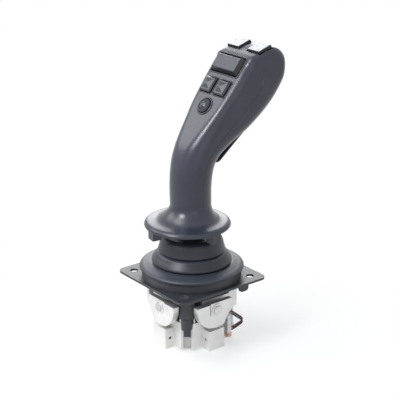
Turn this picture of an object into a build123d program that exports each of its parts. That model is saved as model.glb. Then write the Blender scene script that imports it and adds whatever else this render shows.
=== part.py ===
from build123d import *
import os
from math import atan2, cos, degrees, radians, sin, tan

# Two-axis hand controller for a panel: a lever grip with thumb and finger switches on a hand rest,
# a rubber bellows over a square mounting plate, and a cast gimbal mechanism hanging below it.
# Millimetres, +Z up, +Y forward (away from the operator), +X to the operator's right.
# The origin is on the underside of the mounting plate, on the axis of the lever.

# General fits
running_clearance = 0.3
seat_clearance = 0.3
push_clearance = 0.075

# Mounting plate
plate_width = 96.0
plate_thickness = 2.0
plate_corner = 6.0
hole_inset = 11.0
hole_diameter = 7.0
opening_margin = 6.0
tab_width = 10.0
tab_drop = 8.0
tab_thickness = 2.0
tab_corner = 3.0
tab_inset = 6.0
tab_forward = 25.5

# Bellows and the ring that clamps it
ring_height = 7.3
ring_inset = 3.5
ring_width = 5.0
skirt_overhang = 2.1
skirt_top = 10.5
fold_radii = (35.6, 29.6)
fold_heights = (13.4, 23.5)
fold_lip = 2.0
fold_groove = 2.6
fold_edge = 0.6
fold_rise = 1.4
fold_inset = 1.2
skirt_bevel = 2.0
bellows_shoulder = 31.0
bellows_height = 37.5
bellows_top_radius = 23.5
bellows_wall = 2.0

# Gimbal
pivot_depth = 21.0
shaft_diameter = 10.0
shaft_tip_diameter = 6.0
shaft_tip_clearance = 2.0
gimbal_ring_gap = 2.0
gimbal_ring_width = 4.5
gimbal_ring_height = 10.0
cross_pin_diameter = 5.0
bail_shaft_diameter = 8.0
bow_clearance = 1.0
bow_floor_clearance = 2.5
bow_arm_width = 3.0
bow_half_width = 6.0
bow_thickness = 4.5
bow_slot_clearance = 0.6

# Housing below the plate
housing_width = 50.0
housing_wall = 4.0
housing_depth = 46.0
housing_floor = 3.0
housing_chamfer = 4.0
post_reach = 6.0
post_drop = 26.0
post_chamfer = 5.0
post_gap = 0.6
foot_radius = 4.75
foot_drop = 10.0
base_height = 11.0

# Side brackets
bracket_inset = 4.5
bracket_thickness = 3.0
bracket_top = 13.5
fin_top = 32.0
fin_inner = 10.0
peg_diameter = 2.2
peg_height = 7.5
peg_inset = 2.4
upright_width = 9.0
upright_drop = 28.0
upright_step = 5.0
box_half_width = 8.5
box_reach = 8.3
box_overhang = 2.5
box_gap = 2.5
box_hole = 3.0
plunger_diameter = 5.6
plunger_inset = 2.9
plunger_top = 33.0
plunger_bottom = 50.0
nut_height = 4.0

# Cheeks that turn with the lever
cheek_gap = 4.0
cheek_thickness = 4.5
cheek_radius = 23.0
cheek_rise = 6.0
cheek_top = 7.2
cheek_pad = 1.4
cheek_end_inset = 0.6
cheek_cut_inset = 10.3
cheek_cut_depth = 17.0
notch_place = 9.0
notch_width = 1.8
notch_depth = 11.0
collar_diameter = 12.0
collar_height = 0.7
boss_height = 1.4

# Hand rest and neck of the grip
rest_offset = -4.5
rest_radius = 38.3
rest_height = 53.4
rest_rim = 3.2
rest_edge = 1.0
hub_radius = 11.0
lug_turns = (6.0, 128.0, 261.0)
lug_inner = 28.0
lug_outer = 36.5
lug_width = 9.0
lug_drop = 8.0
neck_offset = -1.0
neck_radius = 18.0
neck_start = 70.0

# Flare from the hand rest to the neck: radius, height above the rest, offset forward
flare_sections = [(28.0, 2.6, -4.0), (22.0, 6.8, -2.6), (18.9, 12.0, -1.3)]

# Grip head: the thumb face leans forward, the top facet less so
face_lean = 39.0
face_point = (14.0, 153.5)
face_trim = 0.6
crease_along = 53.5
facet_rise = 18.0
facet_length = 22.4
head_edge = 5.0
head_trim = 0.3
nose_radius = 14.7
face_start = 45.0
trim_reach = 150.0
seam_low = 10.0
seam_high = (20.0, 24.0)

# Sections of the grip from the neck upwards: back point, front point, half width, back and front radius
grip_sections = [
    ((-19.0, 70.0), (17.0, 70.0), 18.0, 17.8, 17.8),
    ((-19.3, 86.0), (17.0, 86.0), 18.2, 17.8, 17.8),
    ((-18.2, 99.0), (17.9, 95.5), 18.5, 17.2, 17.6),
    ((-15.3, 110.5), (20.0, 104.0), 18.8, 15.8, 17.2),
    ((-11.0, 121.0), (24.5, 111.0), 19.4, 13.6, 16.8),
    ((-4.5, 132.0), (31.5, 117.0), 20.3, 10.8, 16.2),
    ((4.5, 142.5), (39.0, 122.5), 21.3, 8.2, 15.4),
]
head_stations = (0.0, 18.0, 36.0, 53.0, 71.0, 86.0)
head_depths = (41.2, 45.6, 48.4, 47.5, 41.5, 34.0)
head_half_widths = (22.5, 24.3, 25.4, 25.5, 24.8, 24.0)
head_back_radius = 6.0
head_front_radius = 14.0

# Switches: places along the thumb face from its point, and sizes of the caps
well_clearance = 0.6
well_depth = 7.0
round_place = 1.3
round_diameter = 13.0
round_height = 2.8
dome_diameter = 9.4
dome_rise = 1.2
dome_groove = 0.8
square_place = 20.8
square_side = 14.0
square_pitch = 18.0
square_height = 2.9
peak_margin = 2.2
peak_rise = 1.3
peak_side = 2.0
rocker_place = 43.0
rocker_width = 34.0
rocker_length = 17.0
rocker_height = 4.6
rocker_draft = 2.2
press_travel = 2.0
stem_diameter = 5.0
stem_length = 6.0
cap_root = 4.0
cap_edge = 1.2
pin_diameter = 2.4
pin_bite = 0.8
pin_depth = 2.0
rocker_root = 4.5
rocker_clearance = 0.9
pad_place = 17.4
pad_width = 15.5
pad_pitch = 27.0
pad_length = 14.5
pad_height = 1.8
pad_draft = 0.4
pad_edge = 0.6
pad_clearance = 1.3
pad_root = 4.0
pad_depth = 6.0

# Finger trigger: a paddle that rocks on a pin in the front of the grip
trigger_low = (24.7, 102.7)
trigger_middle = (50.0, 123.4)
trigger_high = (77.8, 143.9)
trigger_half_width = 5.5
trigger_thickness = 1.8
trigger_root = 6.0
trigger_root_length = 9.0
trigger_pin_depth = 10.5
trigger_slot_clearance = 1.2

# Thin leads of the position sensor, from the housing to the base
lead_diameter = 1.6
lead_pitch = 2.2
bend_share = 0.3
lead_exit = -34.0
lead_return = -50.0
lead_route = [(3.0, 3.0, 0.0), (7.8, 13.5, -9.0), (3.0, 3.0, -16.0)]

plate_top = plate_thickness
pivot_z = -pivot_depth
hole_spacing = plate_width - 2 * hole_inset
plate_opening = housing_width - opening_margin
ring_radius = plate_width / 2 - ring_inset
skirt_radius = ring_radius + skirt_overhang

housing_half = housing_width / 2
housing_bottom = -housing_depth + housing_floor
base_drop = housing_depth + base_height
post_outer = housing_half + post_reach
bow_outer = housing_half - housing_wall - bow_clearance
bow_arm_place = bow_outer - bow_arm_width
bow_low = housing_bottom + bow_floor_clearance
gimbal_ring_outer = bow_arm_place - gimbal_ring_gap
gimbal_ring_inner = gimbal_ring_outer - gimbal_ring_width
bracket_half_width = housing_half - bracket_inset
bracket_face = housing_half + bracket_thickness
box_face = bracket_face + box_reach
box_drop = base_drop + box_overhang
cheek_bottom = pivot_z + cheek_rise - cheek_radius
box_height = box_drop + cheek_bottom - box_gap
plunger_place = bracket_half_width - plunger_inset
cheek_face = bracket_face + cheek_gap + cheek_thickness

across_face = (sin(radians(face_lean)), cos(radians(face_lean)))
into_face = (cos(radians(face_lean)), -sin(radians(face_lean)))
along_facet = (cos(radians(facet_rise)), sin(radians(facet_rise)))


def face_at(distance, depth=0.0):
    y = face_point[0] + across_face[0] * distance + into_face[0] * depth
    z = face_point[1] + across_face[1] * distance + into_face[1] * depth
    return y, z


def face_plane(distance, x=0.0):
    y, z = face_at(distance)
    return Plane(origin=(x, y, z), x_dir=(1, 0, 0), z_dir=(0, -into_face[0], -into_face[1]))


crease = face_at(crease_along)


def facet_at(distance):
    return crease[0] + along_facet[0] * distance, crease[1] + along_facet[1] * distance


def facet_plane(distance, x=0.0):
    y, z = facet_at(distance)
    return Plane(origin=(x, y, z), x_dir=(1, 0, 0), z_dir=(0, -along_facet[1], along_facet[0]))


def rod(start, direction, length, diameter):
    return extrude(Plane(origin=start, z_dir=direction) * Circle(diameter / 2), amount=length)


def box_between(low, high):
    size = [b - a for a, b in zip(low, high)]
    centre = [(a + b) / 2 for a, b in zip(low, high)]
    return Pos(*centre) * Box(*size)


# Plate, ring and bellows

def mount_plate():
    plate = extrude(RectangleRounded(plate_width, plate_width, plate_corner), amount=plate_thickness)
    holes = GridLocations(hole_spacing, hole_spacing, 2, 2) * Circle(hole_diameter / 2)
    plate -= extrude(Sketch() + holes, amount=plate_thickness)
    plate -= extrude(Circle(plate_opening / 2), amount=plate_thickness)
    outline = Pos(tab_forward, -tab_drop / 2) * Rectangle(tab_width, tab_drop)
    outline = fillet(outline.vertices().group_by(Axis.Y)[0], tab_corner)
    side = side_plane(plate_width / 2 - tab_inset)
    return plate + extrude(side * outline, amount=tab_thickness / 2, both=True)


def clamp_ring():
    ring = Circle(ring_radius) - Circle(ring_radius - ring_width)
    return extrude(Pos(0, 0, plate_top) * ring, amount=ring_height)


def bellows_profile():
    points = [(skirt_radius, ring_height), (skirt_radius, skirt_top - skirt_bevel)]
    outer = skirt_radius
    shoulder = skirt_top
    for radius, height in zip(fold_radii, fold_heights):
        lip_top = height + fold_edge + fold_lip
        points.append((outer - fold_inset, shoulder))
        points.append((radius + fold_edge, height - fold_edge))
        points.append((radius - fold_groove, height))
        points.append((radius, height + fold_edge))
        points.append((radius - fold_edge / 2, lip_top))
        outer = radius
        shoulder = lip_top + fold_rise
    points.append((outer - fold_inset, bellows_shoulder))
    points.append((bellows_top_radius + fold_groove, bellows_height - fold_inset))
    points.append((bellows_top_radius, bellows_height))
    points.append((hub_radius + seat_clearance, bellows_height))
    return points


def bellows():
    outer = bellows_profile()
    lowest = bellows_height - bellows_wall
    bore = hub_radius + seat_clearance
    inner = [
        (skirt_radius - 2 * bellows_wall, ring_height),
        (skirt_radius - 2 * bellows_wall, skirt_top - bellows_wall),
        (fold_radii[0] - fold_groove - bellows_wall, fold_heights[0] - bellows_wall),
        (fold_radii[0] - fold_groove - bellows_wall, fold_heights[0] + fold_lip),
        (fold_radii[1] - fold_groove - bellows_wall, fold_heights[1] - bellows_wall),
        (fold_radii[1] - fold_groove - bellows_wall, bellows_shoulder),
        (bellows_top_radius - bellows_wall, lowest),
        (bore, lowest),
    ]
    face = Polyline(*[(r, 0, plate_top + h) for r, h in outer + inner[::-1]], close=True)
    return revolve(make_face(face), axis=Axis.Z)


# Housing and base

def chamfered_square(width, chamfer):
    return chamfer_corners(Rectangle(width, width), chamfer)


def chamfer_corners(sketch, size):
    return chamfer(sketch.vertices(), size)


def housing():
    shell = extrude(chamfered_square(housing_width, housing_chamfer), amount=-housing_depth)
    well = chamfered_square(housing_width - 2 * housing_wall, housing_chamfer)
    shell -= extrude(well, amount=-(housing_depth - housing_floor))
    bore = bail_shaft_diameter + 2 * running_clearance
    shell -= rod((-housing_width, 0, pivot_z), (1, 0, 0), 2 * housing_width, bore)
    shell -= rod((0, -housing_width, pivot_z), (0, 1, 0), 2 * housing_width, bore)
    inner = bracket_half_width + post_gap
    side = post_outer - inner
    outline = Pos(inner + side / 2, -inner - side / 2) * Rectangle(side, side)
    corner = outline.vertices().sort_by(Axis((0, 0, 0), (1, -1, 0)))[-1]
    post = extrude(chamfer(corner, post_chamfer), amount=-post_drop)
    foot = Pos(inner + foot_radius, -inner - foot_radius, -post_drop) * Circle(foot_radius)
    post += extrude(foot, amount=-foot_drop)
    return shell + post + Rot(0, 0, 180) * post


def base_block():
    outline = chamfered_square(housing_width, housing_chamfer)
    return extrude(Pos(0, 0, -housing_depth) * outline, amount=-(base_drop - housing_depth))


# Brackets on the four sides, drawn on the +X side

def side_plane(distance):
    return Plane(origin=(distance, 0, 0), x_dir=(0, 1, 0), z_dir=(1, 0, 0))


def bracket():
    half = bracket_half_width
    outline = Polyline(
        (-half, -base_drop),
        (half, -base_drop),
        (half, -bracket_top),
        (-fin_inner, -bracket_top),
        (-fin_inner, -fin_top),
        (-half, -fin_top),
        close=True,
    )
    plate = extrude(side_plane(housing_half) * make_face(outline), amount=bracket_thickness)
    bore = bail_shaft_diameter + 2 * running_clearance
    plate -= rod((0, 0, pivot_z), (1, 0, 0), box_face, bore)
    peg_start = (housing_half + bracket_thickness / 2, -half + peg_inset, -fin_top)
    plate += rod(peg_start, (0, 0, 1), peg_height, peg_diameter)
    box = box_between((bracket_face, -box_half_width, -box_drop),
                      (box_face, box_half_width, -box_drop + box_height))
    hole_start = (bracket_face + box_hole, -box_face, -box_drop + box_height / 2)
    hole = rod(hole_start, (0, 1, 0), 2 * box_face, box_hole)
    return plate + (box - hole)


def upright():
    half = bracket_half_width
    arm = half + upright_width
    outline = Polyline(
        (half, -upright_drop - upright_step),
        (half + upright_step, -upright_drop),
        (arm, -upright_drop),
        (arm, 0),
        (half, 0),
        close=True,
    )
    return extrude(side_plane(housing_half) * make_face(outline), amount=bracket_thickness)


def plunger():
    foot = (bracket_face + plunger_diameter / 2, plunger_place, -plunger_bottom)
    return rod(foot, (0, 0, 1), plunger_bottom - plunger_top, plunger_diameter)


def plunger_nut():
    centre = bracket_face + plunger_diameter / 2
    hexagon = RegularPolygon(plunger_diameter / 2, 6, major_radius=False, rotation=30)
    return extrude(Pos(centre, plunger_place, -plunger_bottom) * hexagon, amount=-nut_height)


# The diagonal plane swaps the +X side and the -Y side
diagonal = Plane(origin=(0, 0, 0), z_dir=(1, 1, 0))


def rear_side(shape):
    return mirror(shape, about=diagonal)


def left_side(shape):
    return Rot(0, 0, 180) * shape


def front_side(shape):
    return Rot(0, 0, 180) * mirror(shape, about=diagonal)


def plunger_pair(shape):
    return Compound(children=[shape, front_side(shape)])


def bend_radii(points):
    radii = []
    for before, corner, after in zip(points, points[1:], points[2:]):
        arriving = Vector(corner) - Vector(before)
        leaving = Vector(after) - Vector(corner)
        turn = radians(arriving.get_angle(leaving))
        radii.append(bend_share * min(arriving.length, leaving.length) / tan(turn / 2))
    return radii


def sensor_leads():
    wall = housing_half - housing_chamfer / 2
    solids = []
    for shift in (0.0, lead_pitch):
        route = [(x, y, lead_exit + z) for x, y, z in lead_route]
        route = [(0, 0, lead_exit)] + route + [(0, 0, lead_return)]
        points = [(wall + x, wall + y, z - shift) for x, y, z in route]
        path = FilletPolyline(*points, radius=bend_radii(points))
        start = Plane(origin=path @ 0, z_dir=path % 0)
        solids.append(sweep(start * Circle(lead_diameter / 2), path=path))
    return Compound(children=solids)


# Gimbal

def gimbal_ring():
    ring = Circle(gimbal_ring_outer) - Circle(gimbal_ring_inner)
    body = extrude(Pos(0, 0, pivot_z) * ring, amount=gimbal_ring_height / 2, both=True)
    start = (gimbal_ring_inner + gimbal_ring_outer) / 2
    reach = cheek_face + boss_height
    for direction in (1, -1):
        body += rod((direction * start, 0, pivot_z), (direction, 0, 0), reach - start, bail_shaft_diameter)
    bore = cross_pin_diameter + 2 * running_clearance
    return body - rod((0, -gimbal_ring_outer, pivot_z), (0, 1, 0), 2 * gimbal_ring_outer, bore)


def sway_bow():
    reach = cheek_face + boss_height
    body = box_between((-bow_half_width, -bow_outer, bow_low),
                       (bow_half_width, bow_outer, bow_low + bow_thickness))
    for direction in (1, -1):
        ends = sorted((direction * bow_arm_place, direction * bow_outer))
        arm_top = pivot_z + bow_half_width
        body += box_between((-bow_half_width, ends[0], bow_low), (bow_half_width, ends[1], arm_top))
        body += rod((0, direction * bow_arm_place, pivot_z), (0, direction, 0), reach - bow_arm_place,
                    bail_shaft_diameter)
    slot_width = shaft_tip_diameter + 2 * bow_slot_clearance
    slot = SlotOverall(2 * bow_arm_place - slot_width, slot_width, rotation=90)
    return body - extrude(Pos(0, 0, bow_low) * slot, amount=bow_thickness)


def cheek():
    disc = Pos(0, pivot_z + cheek_rise) * Circle(cheek_radius)
    trim = Pos(0, pivot_z + cheek_top + cheek_radius) * Rectangle(4 * cheek_radius, 2 * cheek_radius)
    end = plunger_place - cheek_end_inset
    far = end + 2 * cheek_radius
    cut = plunger_place - cheek_cut_inset
    low = pivot_z - cheek_cut_depth
    corner = [(end, 0), (end, pivot_z), (cut, low), (cut, 2 * low), (far, 2 * low), (far, 0)]
    outline = disc - trim - make_face(Polyline(*corner, close=True))
    top = pivot_z + cheek_top
    outline -= Pos(-notch_place + notch_width / 2, top) * Rectangle(notch_width, 2 * notch_depth)
    bore = Pos(0, pivot_z) * Circle(bail_shaft_diameter / 2 + push_clearance)
    inner = cheek_face - cheek_thickness
    plate = extrude(side_plane(inner) * (outline - bore), amount=cheek_thickness)
    collar = Pos(0, pivot_z) * Circle(collar_diameter / 2) - bore
    plate += extrude(side_plane(cheek_face) * collar, amount=collar_height)
    pad_side = Pos(-cheek_radius - notch_place, pivot_z) * Rectangle(2 * cheek_radius, 6 * cheek_radius)
    pad = outline & pad_side
    return plate + extrude(side_plane(cheek_face) * pad, amount=cheek_pad)


# Lever and hand rest

def lever_shaft():
    low = housing_bottom + shaft_tip_clearance
    tip = rod((0, 0, low), (0, 0, 1), pivot_z - low, shaft_tip_diameter)
    top = plate_top + bellows_height
    shoulder = pivot_z - shaft_tip_diameter
    body = rod((0, 0, shoulder), (0, 0, 1), top - shoulder, shaft_diameter)
    pin = rod((0, -gimbal_ring_outer, pivot_z), (0, 1, 0), 2 * gimbal_ring_outer, cross_pin_diameter)
    return tip + body + pin


def hand_rest():
    low = rest_height - rest_rim
    levels = [(rest_radius, low + rest_rim / 2, rest_offset)]
    levels.append((rest_radius - rest_edge, rest_height, rest_offset))
    levels += [(radius, rest_height + rise, offset) for radius, rise, offset in flare_sections]
    levels.append((neck_radius, neck_start, neck_offset))
    sections = [Plane((0, y, z)) * Circle(r) for r, z, y in levels]
    body = loft(sections)
    rim = extrude(Plane((0, rest_offset, low)) * Circle(rest_radius), amount=rest_rim / 2)
    body += fillet(rim.edges().sort_by(Axis.Z)[0], rest_edge)
    body += extrude(Plane((0, 0, plate_top + bellows_height - bellows_wall)) * Circle(hub_radius),
                    amount=low - plate_top - bellows_height + bellows_wall)
    body -= rod((0, 0, pivot_z), (0, 0, 1), plate_top + bellows_height - pivot_z, shaft_diameter)
    lug = box_between((lug_inner, -lug_width / 2, low - lug_drop), (lug_outer, lug_width / 2, low))
    for turn in lug_turns:
        body += Pos(0, rest_offset, 0) * Rot(0, 0, turn) * lug
    return body


# Grip

def grip_section(back, front, half_width, back_radius, front_radius):
    centre = ((back[0] + front[0]) / 2, (back[1] + front[1]) / 2)
    run = (front[0] - back[0], front[1] - back[1])
    depth = (run[0] ** 2 + run[1] ** 2) ** 0.5 / 2
    frame = Plane(origin=(0, centre[0], centre[1]), x_dir=(1, 0, 0), z_dir=(0, -run[1], run[0]))
    w, b, f = half_width, back_radius, front_radius
    d = depth
    wire = [
        Line((-w + b, -d), (w - b, -d)),
        RadiusArc((w - b, -d), (w, -d + b), -b),
        Line((w, -d + b), (w, d - f)),
        RadiusArc((w, d - f), (w - f, d), -f),
        Line((w - f, d), (-w + f, d)),
        RadiusArc((-w + f, d), (-w, d - f), -f),
        Line((-w, d - f), (-w, -d + b)),
        RadiusArc((-w, -d + b), (-w + b, -d), -b),
    ]
    return frame * make_face(wire)


def section_list():
    rows = list(grip_sections)
    for station, depth, half_width in zip(head_stations, head_depths, head_half_widths):
        back = face_at(station, -face_trim)
        front = face_at(station, depth)
        rows.append((back, front, half_width, head_back_radius, head_front_radius))
    return rows


def head_envelope():
    far = trim_reach
    start = face_at(-face_start)
    behind = (start[0] - far, start[1])
    flat_end = facet_at(facet_length)
    centre = (flat_end[0] + along_facet[1] * nose_radius, flat_end[1] - along_facet[0] * nose_radius)
    front = (centre[0] + nose_radius, centre[1])
    middle_angle = radians((90 + facet_rise) / 2)
    middle = (centre[0] + nose_radius * cos(middle_angle), centre[1] + nose_radius * sin(middle_angle))
    lines = [
        Line(start, crease),
        Line(crease, flat_end),
        ThreePointArc(flat_end, middle, front),
        Line(front, (front[0], -far)),
        Line((front[0], -far), (behind[0], -far)),
        Line((behind[0], -far), behind),
        Line(behind, start),
    ]
    half_width = max(head_half_widths) - head_trim
    block = extrude(side_plane(0) * make_face(lines), amount=half_width, both=True)
    beside = [face_at(0), facet_at(facet_length / 2), middle, (front[0], front[1] - nose_radius)]
    spots = [(side * half_width, y, z) for side in (-1, 1) for y, z in beside]
    spots.append((0, *crease))
    return fillet([block.edges().sort_by_distance(spot)[0] for spot in spots], head_edge)


def whole_grip():
    body = loft([grip_section(*row) for row in section_list()])
    return body & head_envelope()


def rear_region():
    rows = section_list()
    middles = [((b[0] + f[0]) / 2, (b[1] + f[1]) / 2) for b, f, *rest in rows]
    far = trim_reach
    first = (middles[0][0], middles[0][1] - seam_low)
    last = (middles[-1][0] + seam_high[0], middles[-1][1] + seam_high[1])
    line = Spline(first, *middles[1:], last)
    edges = [
        line,
        Line(last, (-far, last[1])),
        Line((-far, last[1]), (-far, first[1])),
        Line((-far, first[1]), first),
    ]
    return extrude(side_plane(0) * make_face(edges), amount=far, both=True)


# Switch caps; each is drawn in the plane of the face it stands on, with that plane's Z pointing out

def cap_well(width, length, depth, clearance):
    height = depth + 2 * well_depth
    return Pos(0, 0, height / 2 - depth) * Box(width + 2 * clearance, length + 2 * clearance, height)


def cap_stem():
    return rod((0, 0, -cap_root - stem_length), (0, 0, 1), stem_length, stem_diameter)


def round_cap():
    outer = round_diameter / 2
    dome = dome_diameter / 2
    groove = round_height - dome_groove
    ring = [(0, -cap_root), (outer, -cap_root), (outer, round_height - cap_edge),
            (outer - cap_edge, round_height), (dome + dome_groove / 2, round_height), (dome, groove)]
    top = (0, 0, round_height + dome_rise)
    edges = [
        Polyline(*[(r, 0, z) for r, z in ring]),
        TangentArc(top, (dome, 0, groove), tangent=(1, 0, 0)),
        Line(top, (0, 0, -cap_root)),
    ]
    return revolve(make_face(edges), axis=Axis.Z) + cap_stem()


def round_well():
    well = rod((0, 0, -well_depth), (0, 0, 1), 3 * well_depth, round_diameter + 2 * well_clearance)
    return well + stem_bore()


def stem_bore():
    depth = cap_root + stem_length + press_travel + well_clearance
    return rod((0, 0, -depth), (0, 0, 1), depth, stem_diameter + 2 * running_clearance)


def square_cap():
    foot = Pos(0, 0, -cap_root) * Rectangle(square_side, square_side)
    cap = extrude(foot, amount=cap_root + square_height)
    cap = chamfer(cap.faces().sort_by(Axis.Z)[-1].edges(), cap_edge)
    wide = square_side - 2 * peak_margin
    peak = [Pos(0, 0, square_height) * Rectangle(wide, wide),
            Pos(0, 0, square_height + peak_rise) * Rectangle(peak_side, peak_side)]
    return cap + loft(peak) + cap_stem()


def square_well():
    return cap_well(square_side, square_side, well_depth, well_clearance) + stem_bore()


def pin_span(width, clearance):
    return width + 2 * (clearance + pin_bite)


def rocking_cap(width, length, height, root, draft, edge, clearance):
    crown = [Rectangle(width, length), Pos(0, 0, height) * Rectangle(width - 2 * draft, length - 2 * draft)]
    cap = extrude(Rectangle(width, length), amount=-root) + loft(crown)
    cap = fillet(cap.faces().sort_by(Axis.Z)[-1].edges(), edge)
    reach = pin_span(width, clearance)
    return cap + rod((-reach / 2, 0, -pin_depth), (1, 0, 0), reach, pin_diameter)


def rocking_well(width, length, depth, clearance):
    reach = pin_span(width, clearance) + 2 * running_clearance
    bore = rod((-reach / 2, 0, -pin_depth), (1, 0, 0), reach, pin_diameter + 2 * running_clearance)
    return cap_well(width, length, depth, clearance) + bore


def face_switches():
    places = {"thumb_button": (face_plane(round_place), round_cap(), round_well())}
    for side, name in ((-1, "left"), (1, "right")):
        where = face_plane(square_place, side * square_pitch / 2)
        places["select_button_" + name] = (where, square_cap(), square_well())
    rocker = rocking_cap(rocker_width, rocker_length, rocker_height, rocker_root, rocker_draft, cap_edge,
                         rocker_clearance)
    rocker_well = rocking_well(rocker_width, rocker_length, well_depth, rocker_clearance)
    places["thumb_rocker"] = (face_plane(rocker_place), rocker, rocker_well)
    for side, name in ((-1, "left"), (1, "right")):
        where = facet_plane(pad_place, side * pad_pitch / 2)
        pad = rocking_cap(pad_width, pad_length, pad_height, pad_root, pad_draft, pad_edge, pad_clearance)
        pad_well = rocking_well(pad_width, pad_length, pad_depth, pad_clearance)
        places["top_switch_" + name] = (where, pad, pad_well)
    return places


# Trigger

def trigger_frame():
    lean = degrees(atan2(trigger_high[1] - trigger_low[1], trigger_high[0] - trigger_low[0]))
    out = (0, sin(radians(lean)), -cos(radians(lean)))
    return Plane(origin=(0, *trigger_middle), x_dir=(1, 0, 0), z_dir=out)


def trigger():
    frame = trigger_frame()
    ends = [frame.to_local_coords(Vector(0, *point)) for point in (trigger_low, trigger_high)]
    low, high = sorted(((end.Y, end.Z) for end in ends))
    inner = ThreePointArc(low, (0, 0), high)
    raised = [(y, z + trigger_thickness) for y, z in (low, (0, 0), high)]
    outer = ThreePointArc(*raised)
    edges = [inner, Line(high, raised[2]), outer, Line(low, raised[0])]
    blade = extrude(side_plane(0) * make_face(edges), amount=trigger_half_width, both=True)
    half = trigger_root / 2
    root = box_between((-half, -trigger_root_length / 2, -trigger_pin_depth - pin_diameter),
                       (half, trigger_root_length / 2, trigger_thickness / 2))
    pin = rod((-trigger_half_width, 0, -trigger_pin_depth), (1, 0, 0), 2 * trigger_half_width, pin_diameter)
    return frame * (blade + root + pin)


def trigger_slot():
    frame = trigger_frame()
    half = trigger_root / 2 + running_clearance
    gap = trigger_slot_clearance
    length = trigger_root_length / 2 + gap
    floor = -trigger_pin_depth - pin_diameter - gap
    slot = box_between((-half, -length, floor), (half, length, 2 * trigger_thickness))
    reach = 2 * (trigger_half_width + running_clearance)
    bore = rod((-reach / 2, 0, -trigger_pin_depth), (1, 0, 0), reach, pin_diameter + 2 * running_clearance)
    return frame * (slot + bore)


if __name__ == "__main__":
    os.makedirs("parts", exist_ok=True)
    grip = whole_grip()
    region = rear_region()
    switches = face_switches()
    for where, cap, well in switches.values():
        grip -= where * well
    grip -= trigger_slot()
    nodes = {
        "mount_plate": mount_plate(),
        "clamp_ring": clamp_ring(),
        "bellows": bellows(),
        "housing": housing(),
        "base_block": base_block(),
        "gimbal_ring": gimbal_ring(),
        "sway_bow": sway_bow(),
        "sensor_leads": sensor_leads(),
        "lever_shaft": lever_shaft(),
        "hand_rest": hand_rest(),
        "grip_rear_shell": grip & region,
        "grip_front_shell": grip - region,
        "trigger": trigger(),
    }
    sides = {
        "right": lambda shape: shape,
        "left": left_side,
        "front": front_side,
        "rear": rear_side,
    }
    for side, place in sides.items():
        nodes["bracket_" + side] = place(bracket())
        nodes["cheek_" + side] = place(cheek())
    nodes["bracket_right"] += upright()
    nodes["bracket_left"] += left_side(upright())
    nodes["plungers"] = plunger_pair(plunger())
    nodes["plunger_nuts"] = plunger_pair(plunger_nut())
    for name, (where, cap, well) in switches.items():
        nodes[name] = where * cap
    for name, shape in nodes.items():
        export_step(shape, os.path.join("parts", name + ".step"))
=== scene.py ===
import math
import bpy
import bmesh
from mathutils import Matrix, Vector


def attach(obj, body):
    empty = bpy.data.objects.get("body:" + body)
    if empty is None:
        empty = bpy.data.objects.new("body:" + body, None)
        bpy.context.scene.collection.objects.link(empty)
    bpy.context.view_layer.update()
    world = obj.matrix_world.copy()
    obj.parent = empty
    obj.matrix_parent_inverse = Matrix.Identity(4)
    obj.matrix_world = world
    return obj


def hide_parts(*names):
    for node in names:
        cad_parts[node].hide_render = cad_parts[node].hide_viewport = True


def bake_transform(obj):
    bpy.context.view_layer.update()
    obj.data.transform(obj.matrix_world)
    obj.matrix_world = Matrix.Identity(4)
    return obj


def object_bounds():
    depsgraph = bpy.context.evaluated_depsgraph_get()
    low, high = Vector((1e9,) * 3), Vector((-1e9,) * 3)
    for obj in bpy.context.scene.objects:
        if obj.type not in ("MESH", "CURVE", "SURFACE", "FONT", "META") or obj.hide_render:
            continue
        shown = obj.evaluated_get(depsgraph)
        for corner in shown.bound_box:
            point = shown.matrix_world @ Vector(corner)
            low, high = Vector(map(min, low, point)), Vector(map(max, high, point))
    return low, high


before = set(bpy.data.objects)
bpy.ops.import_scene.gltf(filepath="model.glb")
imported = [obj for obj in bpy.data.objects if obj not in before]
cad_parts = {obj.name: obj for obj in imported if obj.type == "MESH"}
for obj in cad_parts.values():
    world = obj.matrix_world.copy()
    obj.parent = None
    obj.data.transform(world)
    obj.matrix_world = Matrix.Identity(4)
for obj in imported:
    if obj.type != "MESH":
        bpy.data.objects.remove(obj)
cadLow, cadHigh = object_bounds()  # box of the solids alone
scene = bpy.context.scene
scene.view_settings.view_transform = "Standard"
print("frame loaded with", len(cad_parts), "nodes")

# Camera

cameraView = {
    "place": (0.75128, -0.58259, 0.42071),
    "azimuth": 51.758,  # degrees, 0 looks along +Y
    "elevation": 20.159,
    "lens": 103.86,  # mm, on the sensor below
    "sensor": 36.0,
    "nearest": 0.01,  # metres
}


def addCamera(view):
    azimuth = math.radians(view["azimuth"])
    elevation = math.radians(view["elevation"])
    level = math.cos(elevation)
    back = Vector((math.sin(azimuth) * level, -math.cos(azimuth) * level, math.sin(elevation)))
    data = bpy.data.cameras.new("camera")
    data.lens = view["lens"]
    data.sensor_width = view["sensor"]
    data.clip_start = view["nearest"]
    data.dof.use_dof = False
    camera = bpy.data.objects.new("camera", data)
    camera.location = view["place"]
    camera.rotation_euler = (-back).to_track_quat("-Z", "Y").to_euler()
    scene.collection.objects.link(camera)
    scene.camera = camera


addCamera(cameraView)
print("camera placed")

# Studio: pale floor, white surroundings, soft lamps

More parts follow.
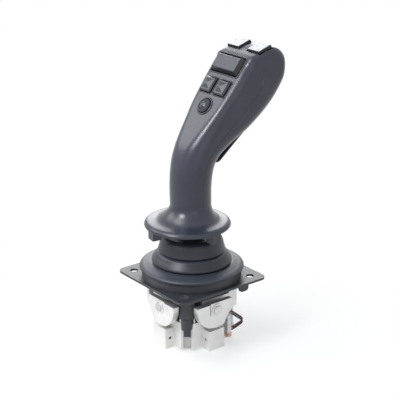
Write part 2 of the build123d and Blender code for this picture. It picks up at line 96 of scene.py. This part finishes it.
studioLamps = {
    "keyLamp": {"place": (-0.80, -0.50, 0.70), "size": 0.50, "power": 2.8, "colour": (1.0, 1.0, 0.99)},
    "topLamp": {"place": (-0.30, -0.50, 1.15), "size": 0.55, "power": 5.5, "colour": (1.0, 1.0, 1.0)},
    "sideLamp": {"place": (1.05, -0.35, 0.40), "size": 0.8, "power": 0.9, "colour": (0.92, 0.96, 1.0)},
    "frontLamp": {"place": (0.04, -0.79, 0.80), "size": 0.30, "power": 6.8, "colour": (0.94, 0.97, 1.0)},
    "backLamp": {"place": (-0.82, 0.62, 0.46), "size": 0.6, "power": 4.6, "colour": (0.96, 0.98, 1.0)},
}
studioRoom = {
    "lampAim": (0, 0, 0.05),
    "floorSize": 6.0,
    "floorColour": (0.95, 0.94, 0.92),
    "floorRough": 0.6,
    "floorGloss": 0.2,
    "whiteLeast": 0.55,  # least share of plain white in the floor
    "whiteFrom": 0.04,  # metres from the frame's origin, where the floor starts to fade to white
    "whiteTo": 0.24,
    "ambient": (0.74, 0.81, 0.92),
    "ambientStrength": 0.48,
}


def addLamp(name, lamp, target):
    data = bpy.data.lights.new(name, "AREA")
    data.size = lamp["size"]
    data.energy = lamp["power"]
    data.color = lamp["colour"]
    light = bpy.data.objects.new(name, data)
    light.location = lamp["place"]
    aim = Vector(target) - Vector(lamp["place"])
    light.rotation_euler = aim.to_track_quat("-Z", "Y").to_euler()
    scene.collection.objects.link(light)


# 1 for rays that reach the studio straight, by reflection or through a clear piece
def seenDirectly(tree):
    path = tree.nodes.new("ShaderNodeLightPath")
    total = path.outputs["Is Camera Ray"]
    for output in ("Is Glossy Ray", "Is Transmission Ray"):
        joined = tree.nodes.new("ShaderNodeMath")
        joined.operation = "MAXIMUM"
        tree.links.new(total, joined.inputs[0])
        tree.links.new(path.outputs[output], joined.inputs[1])
        total = joined.outputs[0]
    return total


def addWorld(room):
    world = bpy.data.worlds.new("studio")
    world.use_nodes = True
    tree = world.node_tree
    ambient = tree.nodes["Background"]
    ambient.inputs["Color"].default_value = (*room["ambient"], 1)
    ambient.inputs["Strength"].default_value = room["ambientStrength"]
    white = tree.nodes.new("ShaderNodeBackground")
    white.inputs["Color"].default_value = (1, 1, 1, 1)
    mix = tree.nodes.new("ShaderNodeMixShader")
    tree.links.new(seenDirectly(tree), mix.inputs[0])
    tree.links.new(ambient.outputs[0], mix.inputs[1])
    tree.links.new(white.outputs[0], mix.inputs[2])
    tree.links.new(mix.outputs[0], tree.nodes["World Output"].inputs["Surface"])
    scene.world = world


def floorMaterial(room):
    material = bpy.data.materials.new("paleFloor")
    material.use_nodes = True
    tree = material.node_tree
    paint = tree.nodes["Principled BSDF"]
    paint.inputs["Base Color"].default_value = (*room["floorColour"], 1)
    paint.inputs["Roughness"].default_value = room["floorRough"]
    paint.inputs["Specular IOR Level"].default_value = room["floorGloss"]
    coords = tree.nodes.new("ShaderNodeTexCoord")
    reach = tree.nodes.new("ShaderNodeVectorMath")
    reach.operation = "LENGTH"
    tree.links.new(coords.outputs["Object"], reach.inputs[0])
    fade = tree.nodes.new("ShaderNodeMapRange")
    fade.interpolation_type = "SMOOTHSTEP"
    fade.inputs["From Min"].default_value = room["whiteFrom"]
    fade.inputs["From Max"].default_value = room["whiteTo"]
    fade.inputs["To Min"].default_value = room["whiteLeast"]
    tree.links.new(reach.outputs["Value"], fade.inputs["Value"])
    share = tree.nodes.new("ShaderNodeMath")
    share.operation = "MULTIPLY"
    tree.links.new(fade.outputs["Result"], share.inputs[0])
    tree.links.new(seenDirectly(tree), share.inputs[1])
    white = tree.nodes.new("ShaderNodeEmission")
    white.inputs["Color"].default_value = (1, 1, 1, 1)
    mix = tree.nodes.new("ShaderNodeMixShader")
    tree.links.new(share.outputs[0], mix.inputs[0])
    tree.links.new(paint.outputs[0], mix.inputs[1])
    tree.links.new(white.outputs[0], mix.inputs[2])
    tree.links.new(mix.outputs[0], tree.nodes["Material Output"].inputs["Surface"])
    return material


def addFloor(room):
    half = room["floorSize"] / 2
    mesh = bpy.data.meshes.new("floor")
    corners = [(x * half, y * half, cadLow.z) for x, y in ((-1, -1), (1, -1), (1, 1), (-1, 1))]
    mesh.from_pydata(corners, [], [(0, 1, 2, 3)])
    mesh.materials.append(floorMaterial(room))
    floor = bpy.data.objects.new("floor", mesh)
    scene.collection.objects.link(floor)


addWorld(studioRoom)
addFloor(studioRoom)
for name, lamp in studioLamps.items():
    addLamp(name, lamp, studioRoom["lampAim"])
print("studio lit by", len(studioLamps), "lamps")

# Finishes: colour, roughness and relief all vary over the surface

finishMaking = {
    "broadDetail": 3.0,
    "fineDetail": 4.0,
    "colourSpread": (0.32, 0.68),  # stretch of the noise over which the colour changes
    "valueSpread": (0.30, 0.70),
    "edgeSpread": (0.98, 0.80),  # agreement of two normals where a mask starts and is full
    "wallSpread": (0.80, 0.60),
    "edgeSamples": 4,
    "roundingSamples": 6,
}
finishes = {  # patch and grain are noise scales, top is where a cap faces and floor a height along it
    "gripPlastic": {
        "dark": (0.021, 0.024, 0.038), "light": (0.028, 0.032, 0.050), "patch": 45, "grain": 2600,
        "rough": (0.26, 0.33), "relief": 0.05, "reliefDepth": 0.00006, "gloss": 0.52,
    },
    "capPlastic": {
        "dark": (0.020, 0.023, 0.032), "light": (0.028, 0.032, 0.043), "patch": 120, "grain": 3200,
        "rough": (0.24, 0.32), "relief": 0.04, "reliefDepth": 0.00003, "rounding": 0.0003, "gloss": 0.5,
        # edge: painted highlight, paler along the caps' edges
        "edge": (0.12, 0.13, 0.15), "edgeRadius": 0.0003,
    },
    "rockerPlastic": {
        "dark": (0.034, 0.039, 0.050), "light": (0.044, 0.050, 0.063), "patch": 120, "grain": 3200,
        "rough": (0.36, 0.46), "relief": 0.08, "reliefDepth": 0.00005, "rounding": 0.0006,
        # wall: painted shade on the rocker's side walls and on its part below the thumb face
        "wall": (0.012, 0.012, 0.015), "top": (0, -0.777, 0.629), "floor": 0.0860,
    },
    "padSilver": {
        "dark": (0.49, 0.50, 0.51), "light": (0.55, 0.55, 0.56), "patch": 160, "grain": 1500, "metal": 0.15,
        # edge: painted shade, a grey outline along the pad's edges
        "edge": (0.24, 0.24, 0.26), "edgeRadius": 0.0008, "stretch": (1, 0.12, 0.12), "rough": (0.40, 0.50),
        "relief": 0.04, "reliefDepth": 0.00003,
        # wall: painted shadow on the pad's side walls and below the facet
        "wall": (0.018, 0.018, 0.021), "top": (0, -0.309, 0.951), "floor": 0.1714,
    },
    "bellowsRubber": {
        "dark": (0.036, 0.040, 0.054), "light": (0.050, 0.055, 0.071), "patch": 70, "grain": 1800,
        "rough": (0.36, 0.46), "relief": 0.14, "reliefDepth": 0.00008, "gloss": 0.5,
        # wall: painted shade on the steep walls of the folds, which face away from the top
        "wall": (0.011, 0.013, 0.022), "top": (0, 0, 1), "floor": -1.0,
    },
    "platePaint": {
        "dark": (0.021, 0.023, 0.029), "light": (0.030, 0.032, 0.040), "patch": 60, "grain": 2200,
        "rough": (0.36, 0.48), "relief": 0.12, "reliefDepth": 0.00006, "edge": (0.16, 0.16, 0.18),
        "edgeRadius": 0.0005, "rounding": 0.0004,
    },
    "housingPlastic": {
        "dark": (0.044, 0.046, 0.053), "light": (0.060, 0.062, 0.070), "patch": 80, "grain": 2000,
        "rough": (0.44, 0.58), "relief": 0.12, "reliefDepth": 0.00006, "rounding": 0.0005, "gloss": 0.35,
    },
    "castSilver": {
        "dark": (0.72, 0.71, 0.69), "light": (0.82, 0.81, 0.79), "patch": 60, "grain": 1600,
        "rough": (0.32, 0.44), "relief": 0.08, "reliefDepth": 0.00005, "metal": 0.55, "rounding": 0.0005,
    },
    "milledGrey": {
        "dark": (0.36, 0.36, 0.37), "light": (0.46, 0.46, 0.47), "patch": 120, "grain": 1400,
        "stretch": (0.1, 1, 1), "rough": (0.30, 0.46), "relief": 0.10, "reliefDepth": 0.00005, "metal": 0.9,
    },
    "groundSteel": {
        "dark": (0.52, 0.52, 0.53), "light": (0.66, 0.66, 0.67), "patch": 200, "grain": 2400,
        "stretch": (1, 1, 0.08), "rough": (0.22, 0.36), "relief": 0.06, "reliefDepth": 0.00003, "metal": 1.0,
        "rounding": 0.0004,
    },
    "nutBrass": {
        "dark": (0.52, 0.34, 0.24), "light": (0.66, 0.46, 0.34), "patch": 260, "grain": 1800,
        "rough": (0.28, 0.42), "relief": 0.06, "reliefDepth": 0.00003, "metal": 0.95,
    },
    "leadSheath": {
        "dark": (0.05, 0.020, 0.022), "light": (0.09, 0.030, 0.034), "patch": 300, "grain": 1800,
        "rough": (0.40, 0.55), "relief": 0.06, "reliefDepth": 0.00003,
    },
}


def grainOf(tree, scale, detail, stretch):
    coords = tree.nodes.new("ShaderNodeTexCoord")
    mapping = tree.nodes.new("ShaderNodeMapping")
    mapping.inputs["Scale"].default_value = stretch
    noise = tree.nodes.new("ShaderNodeTexNoise")
    noise.inputs["Scale"].default_value = scale
    noise.inputs["Detail"].default_value = detail
    tree.links.new(coords.outputs["Object"], mapping.inputs["Vector"])
    tree.links.new(mapping.outputs["Vector"], noise.inputs["Vector"])
    return noise.outputs["Fac"]


def spreadColour(tree, grain, dark, light):
    ramp = tree.nodes.new("ShaderNodeValToRGB")
    low, high = ramp.color_ramp.elements
    low.position, high.position = finishMaking["colourSpread"]
    low.color = (*dark, 1)
    high.color = (*light, 1)
    tree.links.new(grain, ramp.inputs["Fac"])
    return ramp.outputs["Color"]


def spreadValue(tree, value, spread, low=0.0, high=1.0):
    span = tree.nodes.new("ShaderNodeMapRange")
    span.inputs["From Min"].default_value = spread[0]
    span.inputs["From Max"].default_value = spread[1]
    span.inputs["To Min"].default_value = low
    span.inputs["To Max"].default_value = high
    tree.links.new(value, span.inputs["Value"])
    return span.outputs["Result"]


def roundedNormal(tree, radius, samples):
    rounded = tree.nodes.new("ShaderNodeBevel")
    rounded.samples = samples
    rounded.inputs["Radius"].default_value = radius
    return rounded.outputs["Normal"]


def dotWith(tree, output, direction):
    agree = tree.nodes.new("ShaderNodeVectorMath")
    agree.operation = "DOT_PRODUCT"
    agree.inputs[1].default_value = direction
    tree.links.new(output, agree.inputs[0])
    return agree.outputs["Value"]


# mask along the edges: worn paint on the plate, painted highlight on the caps, painted shade on the silver
# pads
def edgeWearAndPaintedLightMask(tree, radius):
    geometry = tree.nodes.new("ShaderNodeNewGeometry")
    agree = tree.nodes.new("ShaderNodeVectorMath")
    agree.operation = "DOT_PRODUCT"
    tree.links.new(roundedNormal(tree, radius, finishMaking["edgeSamples"]), agree.inputs[0])
    tree.links.new(geometry.outputs["Normal"], agree.inputs[1])
    return spreadValue(tree, agree.outputs["Value"], finishMaking["edgeSpread"])


# painted shade: full where a surface turns away from the top or lies under the floor level
def paintedShadeMask(tree, top, floor):
    coords = tree.nodes.new("ShaderNodeTexCoord")
    away = spreadValue(tree, dotWith(tree, coords.outputs["Normal"], top), finishMaking["wallSpread"])
    under = tree.nodes.new("ShaderNodeMath")
    under.operation = "LESS_THAN"
    under.inputs[1].default_value = floor
    tree.links.new(dotWith(tree, coords.outputs["Object"], top), under.inputs[0])
    either = tree.nodes.new("ShaderNodeMath")
    either.operation = "MAXIMUM"
    tree.links.new(away, either.inputs[0])
    tree.links.new(under.outputs[0], either.inputs[1])
    return either.outputs[0]


def blendColour(tree, share, colour, other):
    mix = tree.nodes.new("ShaderNodeMix")
    mix.data_type = "RGBA"
    tree.links.new(share, mix.inputs["Factor"])
    tree.links.new(colour, mix.inputs["A"])
    mix.inputs["B"].default_value = (*other, 1)
    return mix.outputs["Result"]


def makeFinish(name, finish):
    material = bpy.data.materials.new(name)
    material.use_nodes = True
    tree = material.node_tree
    shader = tree.nodes["Principled BSDF"]
    even = (1, 1, 1)
    broad = grainOf(tree, finish["patch"], finishMaking["broadDetail"], even)
    fine = grainOf(tree, finish["grain"], finishMaking["fineDetail"], finish.get("stretch", even))
    colour = spreadColour(tree, broad, finish["dark"], finish["light"])
    if "edge" in finish:  # edge colour along the edges: worn paint on the plate, painted highlight on the caps, painted shade on the silver pads
        colour = blendColour(tree, edgeWearAndPaintedLightMask(tree, finish["edgeRadius"]), colour, finish["edge"])
    if "wall" in finish:  # painted shade: darker on what turns away from the top or lies under the floor level
        colour = blendColour(tree, paintedShadeMask(tree, finish["top"], finish["floor"]), colour, finish["wall"])
    tree.links.new(colour, shader.inputs["Base Color"])
    rough = spreadValue(tree, fine, finishMaking["valueSpread"], *finish["rough"])
    tree.links.new(rough, shader.inputs["Roughness"])
    bump = tree.nodes.new("ShaderNodeBump")
    if "rounding" in finish:
        rounded = roundedNormal(tree, finish["rounding"], finishMaking["roundingSamples"])
        tree.links.new(rounded, bump.inputs["Normal"])
    bump.inputs["Strength"].default_value = finish["relief"]
    bump.inputs["Distance"].default_value = finish["reliefDepth"]
    tree.links.new(fine, bump.inputs["Height"])
    tree.links.new(bump.outputs["Normal"], shader.inputs["Normal"])
    shader.inputs["Metallic"].default_value = finish.get("metal", 0.0)
    shader.inputs["Specular IOR Level"].default_value = finish.get("gloss", 0.5)
    return material


materials = {name: makeFinish(name, finish) for name, finish in finishes.items()}
print("finishes made:", len(materials))

# Which finish each solid takes

nodeFinish = {
    "mount_plate": "platePaint", "clamp_ring": "housingPlastic", "bellows": "bellowsRubber",
    "housing": "housingPlastic", "base_block": "milledGrey", "plungers": "groundSteel",
    "plunger_nuts": "nutBrass", "sensor_leads": "leadSheath", "gimbal_ring": "groundSteel",
    "sway_bow": "groundSteel", "lever_shaft": "groundSteel", "hand_rest": "gripPlastic",
    "grip_rear_shell": "gripPlastic", "grip_front_shell": "gripPlastic", "trigger": "capPlastic",
    "thumb_button": "capPlastic", "select_button_left": "capPlastic", "select_button_right": "capPlastic",
    "thumb_rocker": "rockerPlastic", "top_switch_left": "padSilver", "top_switch_right": "padSilver",
}
for side in ("right", "left", "front", "rear"):
    nodeFinish["bracket_" + side] = "castSilver"
    nodeFinish["cheek_" + side] = "castSilver"
for node, finish in nodeFinish.items():
    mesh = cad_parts[node].data
    mesh.materials.clear()
    mesh.materials.append(materials[finish])
print("solids painted:", len(nodeFinish))

# Steps that several pieces share

sideways = Vector((1, 0, 0))


# curve through the points, paced by their first two coordinates
def smoothLine(points, steps):
    points = [Vector(point) for point in points]
    gaps = [(b.to_2d() - a.to_2d()).length for a, b in zip(points, points[1:])]
    slopes = [(b - a) / gap for a, b, gap in zip(points, points[1:], gaps)]
    tangents = [slopes[0]]
    for i in range(1, len(slopes)):
        share = gaps[i - 1] / (gaps[i - 1] + gaps[i])
        tangents.append(slopes[i - 1] * (1 - share) + slopes[i] * share)
    tangents.append(slopes[-1])
    line = []
    for i, gap in enumerate(gaps):
        for step in range(steps):
            t = step / steps
            here = points[i] * (2 * t**3 - 3 * t**2 + 1) + tangents[i] * (gap * (t**3 - 2 * t**2 + t))
            here += points[i + 1] * (3 * t**2 - 2 * t**3)
            here += tangents[i + 1] * (gap * (t**3 - t**2))
            line.append(here)
    line.append(points[-1])
    return line


def roundedRing(halfWidth, halfLength, corner, perCorner):
    ring = []
    for quarter in range(4):
        middle = math.pi / 2 * quarter + math.pi / 4
        for k in range(perCorner):
            turn = math.pi / 2 * (quarter + (k + 0.5) / perCorner)  # no point on the middle line
            x = math.copysign(halfWidth - corner, math.cos(middle)) + corner * math.cos(turn)
            ring.append((x, math.copysign(halfLength - corner, math.sin(middle)) + corner * math.sin(turn)))
    return ring


def addTube(build, loops):
    for here, beyond in zip(loops, loops[1:]):
        for k in range(len(here)):
            build.faces.new((here[k - 1], here[k], beyond[k], beyond[k - 1]))
    build.faces.new(loops[0])
    build.faces.new(loops[-1])


def addPiece(name, build):
    bmesh.ops.recalc_face_normals(build, faces=build.faces)
    mesh = bpy.data.meshes.new(name)
    build.to_mesh(mesh)
    build.free()
    piece = bpy.data.objects.new(name, mesh)
    scene.collection.objects.link(piece)
    return piece


def dressPiece(piece, finish, sharpAngle=None):
    for face in piece.data.polygons:
        face.use_smooth = True
    if sharpAngle:
        piece.data.set_sharp_from_angle(angle=math.radians(sharpAngle))
    piece.data.materials.clear()
    piece.data.materials.append(materials[finish])


# Grip: one moulded skin over both shells, drawn as rounded sections that fan out round the head

gripShape = {
    "faceLean": 39.0,  # degrees that the thumb face leans forward
    "facePoint": (0.0140, 0.1535),  # forward and up, where distances along the face start
    "facetRise": 18.0,  # degrees
    "facetLength": 0.0190,
    "crease": 0.0535,  # along the face, where the top facet starts
    "creaseRound": 0.0018,
    "creaseInset": 0.0003,
    "noseRadius": 0.0173,
    "noseTurns": [(81, 0.0062), (54, 0.0064), (27, 0.0070), (0, 0.0080)],  # degrees round it, corner radius
    "noseFoot": ((0.0882, 0.1740), 0.0100),  # place and corner radius
    "frontTop": ((0.0843, 0.1648), 0.0120),
    "neck": [  # back point, front point, half width, back and front corner radius
        ((-0.0190, 0.0700), (0.0170, 0.0700), 0.0180, 0.0178, 0.0178),
        ((-0.0193, 0.0860), (0.0170, 0.0860), 0.0182, 0.0178, 0.0178),
        ((-0.0182, 0.0990), (0.0179, 0.0955), 0.0185, 0.0172, 0.0176),
        ((-0.0153, 0.1105), (0.0200, 0.1040), 0.0188, 0.0158, 0.0172),
        ((-0.0108, 0.1208), (0.0245, 0.1110), 0.0194, 0.0150, 0.0168),
        ((-0.0038, 0.1311), (0.0315, 0.1170), 0.0203, 0.0130, 0.0162),
        ((0.0048, 0.1420), (0.0390, 0.1225), 0.0213, 0.0106, 0.0154),
    ],
    "head": [  # distance along the face, depth, half width
        (0.0, 0.0412, 0.0225), (0.0180, 0.0456, 0.0243), (0.0360, 0.0484, 0.0252),
    ],
    "headHalfWidth": 0.0252,
    "backRadius": 0.0082,  # corner radii of the head's sections
    "frontRadius": 0.0140,
    "topRadius": 0.0062,
    "hub": (0.0500, 0.0220),  # along the face and into it, where the sections of the head meet
    "faceEnd": 0.0480,  # along the face, its last guide point
    "steps": 9,  # rows between two guide points
    "flat": 7,  # points on half the flat, on a corner and on a flank of each section
    "arc": 9,
    "flank": 8,
    "flankLeast": 0.0006,  # left between a corner and the seam
    "seamHalf": 0.0002,
    "seamDepth": 0.00025,
    "mergeWithin": 0.000001,
    "wellCorner": 10,  # points on each corner of a well
    "sharpAngle": 38,
}
gripWells = {  # face, place along it, sideways, width, length, corner, depth
    "thumbButton": ("thumb", 0.0013, 0.0, 0.0142, 0.0142, 0.0071, 0.0070),
    "leftSelect": ("thumb", 0.0208, -0.0090, 0.0152, 0.0152, 0.0012, 0.0070),
    "rightSelect": ("thumb", 0.0208, 0.0090, 0.0152, 0.0152, 0.0012, 0.0070),
    "rocker": ("thumb", 0.0430, 0.0, 0.0358, 0.0188, 0.0016, 0.0070),
    "leftTop": ("facet", 0.0174, -0.0135, 0.0181, 0.0171, 0.0012, 0.0060),
    "rightTop": ("facet", 0.0174, 0.0135, 0.0181, 0.0171, 0.0012, 0.0060),
    "trigger": ("trigger", 0.0, 0.0, 0.0066, 0.0114, 0.0010, 0.0141),
}
triggerSeat = {"place": (0.0500, 0.1234), "lean": 37.8}  # forward and up, degrees


def faceAt(shape, along, depth=0.0):
    lean = math.radians(shape["faceLean"])
    y = shape["facePoint"][0] + math.sin(lean) * along + math.cos(lean) * depth
    return Vector((y, shape["facePoint"][1] + math.cos(lean) * along - math.sin(lean) * depth))


def facetAt(shape, along):
    rise = math.radians(shape["facetRise"])
    return faceAt(shape, shape["crease"]) + along * Vector((math.cos(rise), math.sin(rise)))


def noseAt(shape, turn):
    rise = math.radians(shape["facetRise"])
    inward = Vector((math.sin(rise), -math.cos(rise)))
    middle = facetAt(shape, shape["facetLength"]) + shape["noseRadius"] * inward
    return middle + shape["noseRadius"] * Vector((math.cos(math.radians(turn)), math.sin(math.radians(turn))))


def gripGuides(shape):
    back, front = [], []
    for backPoint, frontPoint, halfWidth, backRadius, frontRadius in shape["neck"]:
        back.append((*backPoint, halfWidth, backRadius))
        front.append((*frontPoint, halfWidth, frontRadius))
    for along, depth, halfWidth in shape["head"]:
        back.append((*faceAt(shape, along), halfWidth, shape["backRadius"]))
        front.append((*faceAt(shape, along, depth), halfWidth, shape["frontRadius"]))
    spine = [((b[0] + f[0]) / 2, (b[1] + f[1]) / 2, b[2], shape["seamDepth"]) for b, f in zip(back, front)]
    headHalf = shape["headHalfWidth"]
    spine.append((*faceAt(shape, *shape["hub"]), headHalf, 0.0))
    back.append((*faceAt(shape, shape["faceEnd"]), headHalf, shape["backRadius"]))
    front.append((*shape["frontTop"][0], headHalf, shape["frontTop"][1]))
    bend = shape["creaseRound"]
    over = [
        faceAt(shape, shape["crease"] - bend), faceAt(shape, shape["crease"], shape["creaseInset"]),
        facetAt(shape, bend), facetAt(shape, shape["facetLength"] / 2), facetAt(shape, shape["facetLength"]),
    ]
    top = [(*point, headHalf, shape["topRadius"]) for point in over]
    top += [(*noseAt(shape, turn), headHalf, radius) for turn, radius in shape["noseTurns"]]
    top.append((*shape["noseFoot"][0], headHalf, shape["noseFoot"][1]))
    return back + top + front[::-1], spine


# one section, from seam to seam over the flat and both corners
def gripRow(outer, heart, shape):
    middle = heart.to_2d()
    reach = (outer.to_2d() - middle).length
    out = (outer.to_2d() - middle) / reach
    edge = outer[2]
    radius = min(outer[3], reach - shape["flankLeast"])
    half = [(k / shape["flat"] * (edge - radius), reach) for k in range(shape["flat"])]
    for k in range(shape["arc"]):
        turn = math.pi / 2 * k / shape["arc"]
        half.append((edge - radius * (1 - math.sin(turn)), reach - radius * (1 - math.cos(turn))))
    for k in range(shape["flank"] + 1):
        share = k / shape["flank"]
        depth = (reach - radius) * (1 - share) + shape["seamHalf"] * share
        half.append((edge + (heart[2] - edge) * share, depth))
    half.append((heart[2] - heart[3], 0.0))
    across = [(-x, depth) for x, depth in half[:0:-1]] + half
    return [(x, middle.x + out.x * depth, middle.y + out.y * depth) for x, depth in across]


def wellFrame(shape, well):
    face, along, aside = well[:3]
    if face == "trigger":
        lean = math.radians(triggerSeat["lean"])
        up = Vector((0, math.cos(lean), math.sin(lean)))
        return Vector((aside, *triggerSeat["place"])), up, -sideways.cross(up)
    faceLine = facetAt if face == "facet" else faceAt
    start = faceLine(shape, along)
    up = Vector((0, *(faceLine(shape, along + 1) - start)))
    return Vector((aside, *start)), up, sideways.cross(up)


def wellTool(shape, wells):
    build = bmesh.new()
    for well in wells.values():
        place, along, out = wellFrame(shape, well)
        width, length, corner, depth = well[3:]
        corners = roundedRing(width / 2, length / 2, corner, shape["wellCorner"])
        ring = [place + sideways * x + along * y for x, y in corners]
        addTube(build, [[build.verts.new(point + out * end) for point in ring] for end in (-depth, depth)])
    return addPiece("wells", build)


def addGrip(shape, wells):
    outline, spine = gripGuides(shape)
    rows = smoothLine(outline, shape["steps"])
    hearts = smoothLine(spine, shape["steps"])
    build = bmesh.new()
    grid = []
    for i, outer in enumerate(rows):  # back and front share the spine, and the head's rows its last point
        heart = hearts[min(i, len(rows) - 1 - i, len(hearts) - 1)]
        grid.append([build.verts.new(point) for point in gripRow(outer, heart, shape)])
    for here, beyond in zip(grid, grid[1:]):
        for k in range(len(here) - 1):
            build.faces.new((here[k], here[k + 1], beyond[k + 1], beyond[k]))
    bmesh.ops.remove_doubles(build, verts=build.verts, dist=shape["mergeWithin"])
    bmesh.ops.holes_fill(build, edges=build.edges, sides=0)
    piece = addPiece("grip_skin", build)
    tool = wellTool(shape, wells)
    cut = piece.modifiers.new("wells", "BOOLEAN")
    cut.operation = "DIFFERENCE"
    cut.solver = "EXACT"
    cut.object = tool
    whole = piece.evaluated_get(bpy.context.evaluated_depsgraph_get())
    piece.data = bpy.data.meshes.new_from_object(whole)
    piece.modifiers.clear()
    bpy.data.objects.remove(tool)
    dressPiece(piece, "gripPlastic", shape["sharpAngle"])
    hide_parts("grip_rear_shell", "grip_front_shell")
    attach(piece, "lever")
    return len(piece.data.polygons)


print("grip skin with", addGrip(gripShape, gripWells), "faces")

# Collar round the thumb button and snap-in frames round the rocker and select caps

bezelShape = {
    "rims": {  # well inside it, band, height
        "thumb_collar": ("thumbButton", 0.0014, 0.0009),
        "rocker_frame": ("rocker", 0.0011, 0.0006),
        "select_frame_left": ("leftSelect", 0.0009, 0.0005),
        "select_frame_right": ("rightSelect", 0.0009, 0.0005),
    },
    "profile": [  # shares of the band and of the height
        (-0.05, -2.0), (-0.05, 0.6), (0.12, 0.95), (0.4, 1.0), (0.7, 0.9), (1.0, 0.3), (1.0, -2.0),
    ],
    "perCorner": 10,
    "sharpAngle": 50,
}


def addBezel(name, shape, well, band, height):
    place, along, out = wellFrame(gripShape, well)
    width, length, corner = well[3:6]
    build = bmesh.new()
    loops = []
    for share, rise in shape["profile"]:
        grow = share * band
        ring = roundedRing(width / 2 + grow, length / 2 + grow, corner + grow, shape["perCorner"])
        level = out * (rise * height)
        loops.append([build.verts.new(place + sideways * x + along * y + level) for x, y in ring])
    for inner, outer in zip(loops, loops[1:] + loops[:1]):
        for k in range(len(inner)):
            build.faces.new((inner[k - 1], inner[k], outer[k], outer[k - 1]))
    piece = addPiece(name, build)
    dressPiece(piece, "capPlastic", shape["sharpAngle"])
    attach(piece, "lever")


for name, (wellName, band, height) in bezelShape["rims"].items():
    addBezel(name, bezelShape, gripWells[wellName], band, height)
print("bezels set in the thumb face:", len(bezelShape["rims"]))

# Trigger: a bowed paddle with round ends on a flared post, in the solid's place

triggerShape = {
    "ends": (-0.0327, 0.0345),  # along the paddle, from its post
    "halfWidth": 0.0055,
    "halfThickness": 0.0009,
    "tipRound": 0.0045,
    "tipShare": 0.4,  # of the thickness, left at the very tip
    "edgeRound": 0.96,  # share of the half thickness
    "bow": 0.797,  # outward bend, times the square of the distance from the post
    "stations": 48,
    "post": [  # out from the paddle's inner face, half width, half length, corner
        (-0.0129, 0.0030, 0.0045, 0.0008),
        (-0.0034, 0.0030, 0.0045, 0.0008),
        (-0.0018, 0.0031, 0.0048, 0.0010),
        (-0.0007, 0.0035, 0.0056, 0.0014),
        (0.0004, 0.0043, 0.0074, 0.0020),
    ],
    "pin": (-0.0105, 0.0012),  # out from the paddle's inner face, radius
    "perCorner": 6,
    "sharpAngle": 50,
}


def paddleSection(shape, along):
    low, high = shape["ends"]
    tip, thin = shape["tipRound"], shape["halfThickness"]
    fromEnd = max(min(along - low, high - along), 0)
    halfWidth = shape["halfWidth"] - tip + math.sqrt(tip**2 - max(tip - fromEnd, 0) ** 2)
    swell = math.sqrt(1 - (max(thin - fromEnd, 0) / thin) ** 2)
    halfDepth = thin * (shape["tipShare"] + (1 - shape["tipShare"]) * swell)
    return roundedRing(halfWidth, halfDepth, shape["edgeRound"] * halfDepth, shape["perCorner"])


def addTrigger(shape):
    place, along, out = wellFrame(gripShape, gripWells["trigger"])
    low, high = shape["ends"]
    build = bmesh.new()
    paddle = []
    for i in range(shape["stations"] + 1):
        share = (1 - math.cos(math.pi * i / shape["stations"])) / 2  # closer together at the ends
        station = low + (high - low) * share
        middle = place + along * station + out * (shape["halfThickness"] + shape["bow"] * station * station)
        ring = paddleSection(shape, station)
        paddle.append([build.verts.new(middle + sideways * x + out * y) for x, y in ring])
    addTube(build, paddle)
    post = []
    for depth, halfWidth, halfLength, corner in shape["post"]:
        ring = roundedRing(halfWidth, halfLength, corner, shape["perCorner"])
        post.append([build.verts.new(place + out * depth + sideways * x + along * y) for x, y in ring])
    addTube(build, post)
    depth, radius = shape["pin"]
    pin = []
    for end in (-shape["halfWidth"], shape["halfWidth"]):
        ring = roundedRing(radius, radius, radius, shape["perCorner"])
        pin.append([build.verts.new(place + out * (depth + y) + sideways * end + along * x) for x, y in ring])
    addTube(build, pin)
    piece = addPiece("trigger_paddle", build)
    dressPiece(piece, "capPlastic", shape["sharpAngle"])
    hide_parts("trigger")
    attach(piece, "trigger")


addTrigger(triggerShape)
print("trigger paddle made")

# Bellows: a turned rubber skin in two pieces

bellowsSkin = {
    "around": 128,
    "steps": 8,  # points between two guide points of the profile
    "wall": 0.0016,
    "bends": {  # still body, moving body, guide point where the bend starts
        "lower": ("root", "cross_bail", 3),
        "upper": ("cross_bail", "lever", 0),
    },
    "lower": [  # radius and height of the outer skin, from the ring up to the middle groove
        (0.0458, 0.0093), (0.0465, 0.0098), (0.0467, 0.0107), (0.0462, 0.0118), (0.0448, 0.0126),
        (0.0410, 0.0137), (0.0372, 0.0147), (0.0346, 0.0152), (0.0334, 0.0155), (0.0346, 0.0158),
        (0.0356, 0.0162), (0.0359, 0.0170), (0.0355, 0.0181), (0.0345, 0.0196), (0.0328, 0.0218),
        (0.0308, 0.0243), (0.0289, 0.0252), (0.0276, 0.0256),
    ],
    "upper": [  # on from there to the lever
        (0.0276, 0.0256), (0.0288, 0.0259), (0.0296, 0.0263), (0.0299, 0.0271), (0.0295, 0.0286),
        (0.0289, 0.0308), (0.0284, 0.0332), (0.0275, 0.0360), (0.0262, 0.0382), (0.0240, 0.0394),
        (0.0200, 0.0397), (0.0116, 0.0397),
    ],
}


def innerLine(line, wall):
    inner = []
    for i, point in enumerate(line):
        along = (line[min(i + 1, len(line) - 1)] - line[max(i - 1, 0)]).normalized()
        inner.append(point + Vector((-along.y, along.x)) * wall)
    return inner


def turnedPiece(name, outer, wall, around):
    ring = outer + innerLine(outer, wall)[::-1]
    build = bmesh.new()
    rows = []
    for k in range(around):
        angle = 2 * math.pi * k / around
        rows.append([build.verts.new((p.x * math.cos(angle), p.x * math.sin(angle), p.y)) for p in ring])
    for k in range(around):
        here, beyond = rows[k], rows[(k + 1) % around]
        for i in range(len(ring)):
            j = (i + 1) % len(ring)
            build.faces.new((here[i], beyond[i], beyond[j], here[j]))
    return addPiece(name, build)


def addBellows(skin):
    for part, (still, moving, first) in skin["bends"].items():
        profile = smoothLine(skin[part], skin["steps"])
        piece = turnedPiece("bellows_" + part, profile, skin["wall"], skin["around"])
        dressPiece(piece, "bellowsRubber")
        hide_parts("bellows")
        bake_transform(piece)


addBellows(bellowsSkin)
print("bellows made in two pieces")
